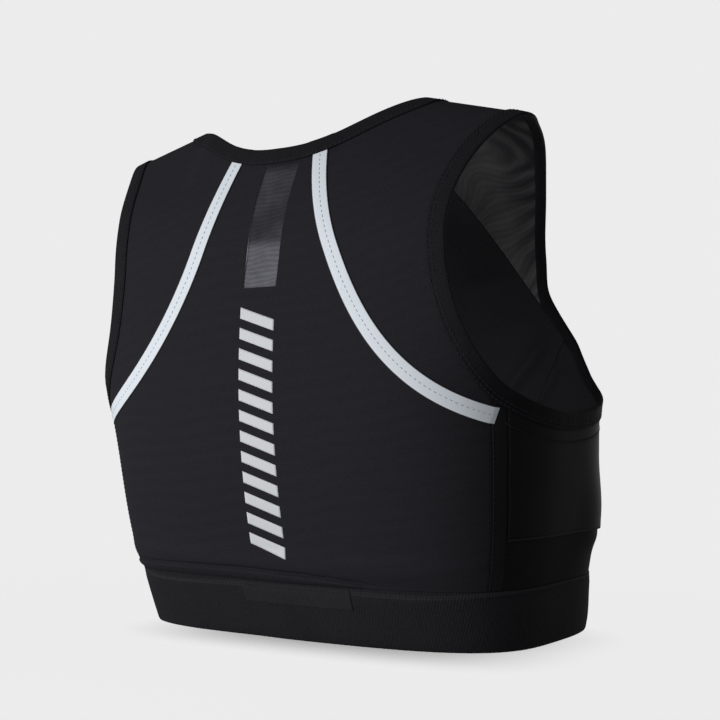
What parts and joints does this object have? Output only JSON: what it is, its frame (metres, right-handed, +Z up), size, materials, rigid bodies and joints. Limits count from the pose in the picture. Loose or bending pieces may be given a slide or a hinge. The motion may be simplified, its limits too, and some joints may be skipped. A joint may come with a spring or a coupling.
{
  "type": "chest protector vest",
  "caption": "Sleeveless cropped compression vest with padded chest cover, mesh back, reflective raglan tapes, bound edges and a wide elastic underband.",
  "frame": {"origin": "middle of the hem's bounding box, on the surface that the hem stands on", "axes": "+Z up from the hem to the shoulders, +Y to the wearer's back, +X to the wearer's left"},
  "size_m": [0.3098, 0.222, 0.3172],
  "materials": {
    "mesh": "fine ribbed power mesh, matt",
    "lining": "smooth knit lining",
    "cover": "smooth stretch jersey with a slight sheen",
    "foam": "closed-cell foam",
    "band": "ribbed plush elastic",
    "elastic": "woven elastic",
    "binding": "fold-over elastic, matt",
    "tape": "retroreflective tape with a sewn middle",
    "label": "satin",
    "patch": "tonal bonded patch",
    "print": "reflective heat-transfer film"
  },
  "bodies": {
    "vest": {"back_panel": "mesh", "shoulder_panel_left": "mesh", "shoulder_panel_right": "mesh", "side_panel_left": "lining", "side_panel_right": "lining", "front_lining": "lining", "chest_cover": "cover", "chest_pad_left": "foam", "chest_pad_right": "foam", "underband_casing": "band", "underband_elastic": "elastic", "neck_binding": "binding", "armhole_binding_left": "binding", "armhole_binding_right": "binding", "reflective_tape_left": "tape", "reflective_tape_right": "tape", "seam_strip_left": "binding", "seam_strip_right": "binding", "band_patch": "patch", "back_print": "print"},
    "label": {"care_label": "label"}
  },
  "joints": [
    {"name": "label_flap", "type": "hinge", "parent": "vest", "child": "label", "pos_m": [-0.0059, 0.0901, 0.2799], "axis": [1, 0, 0], "range_deg": [-110, 0], "stiffness_Nm_per_rad": 0.001}
  ]
}
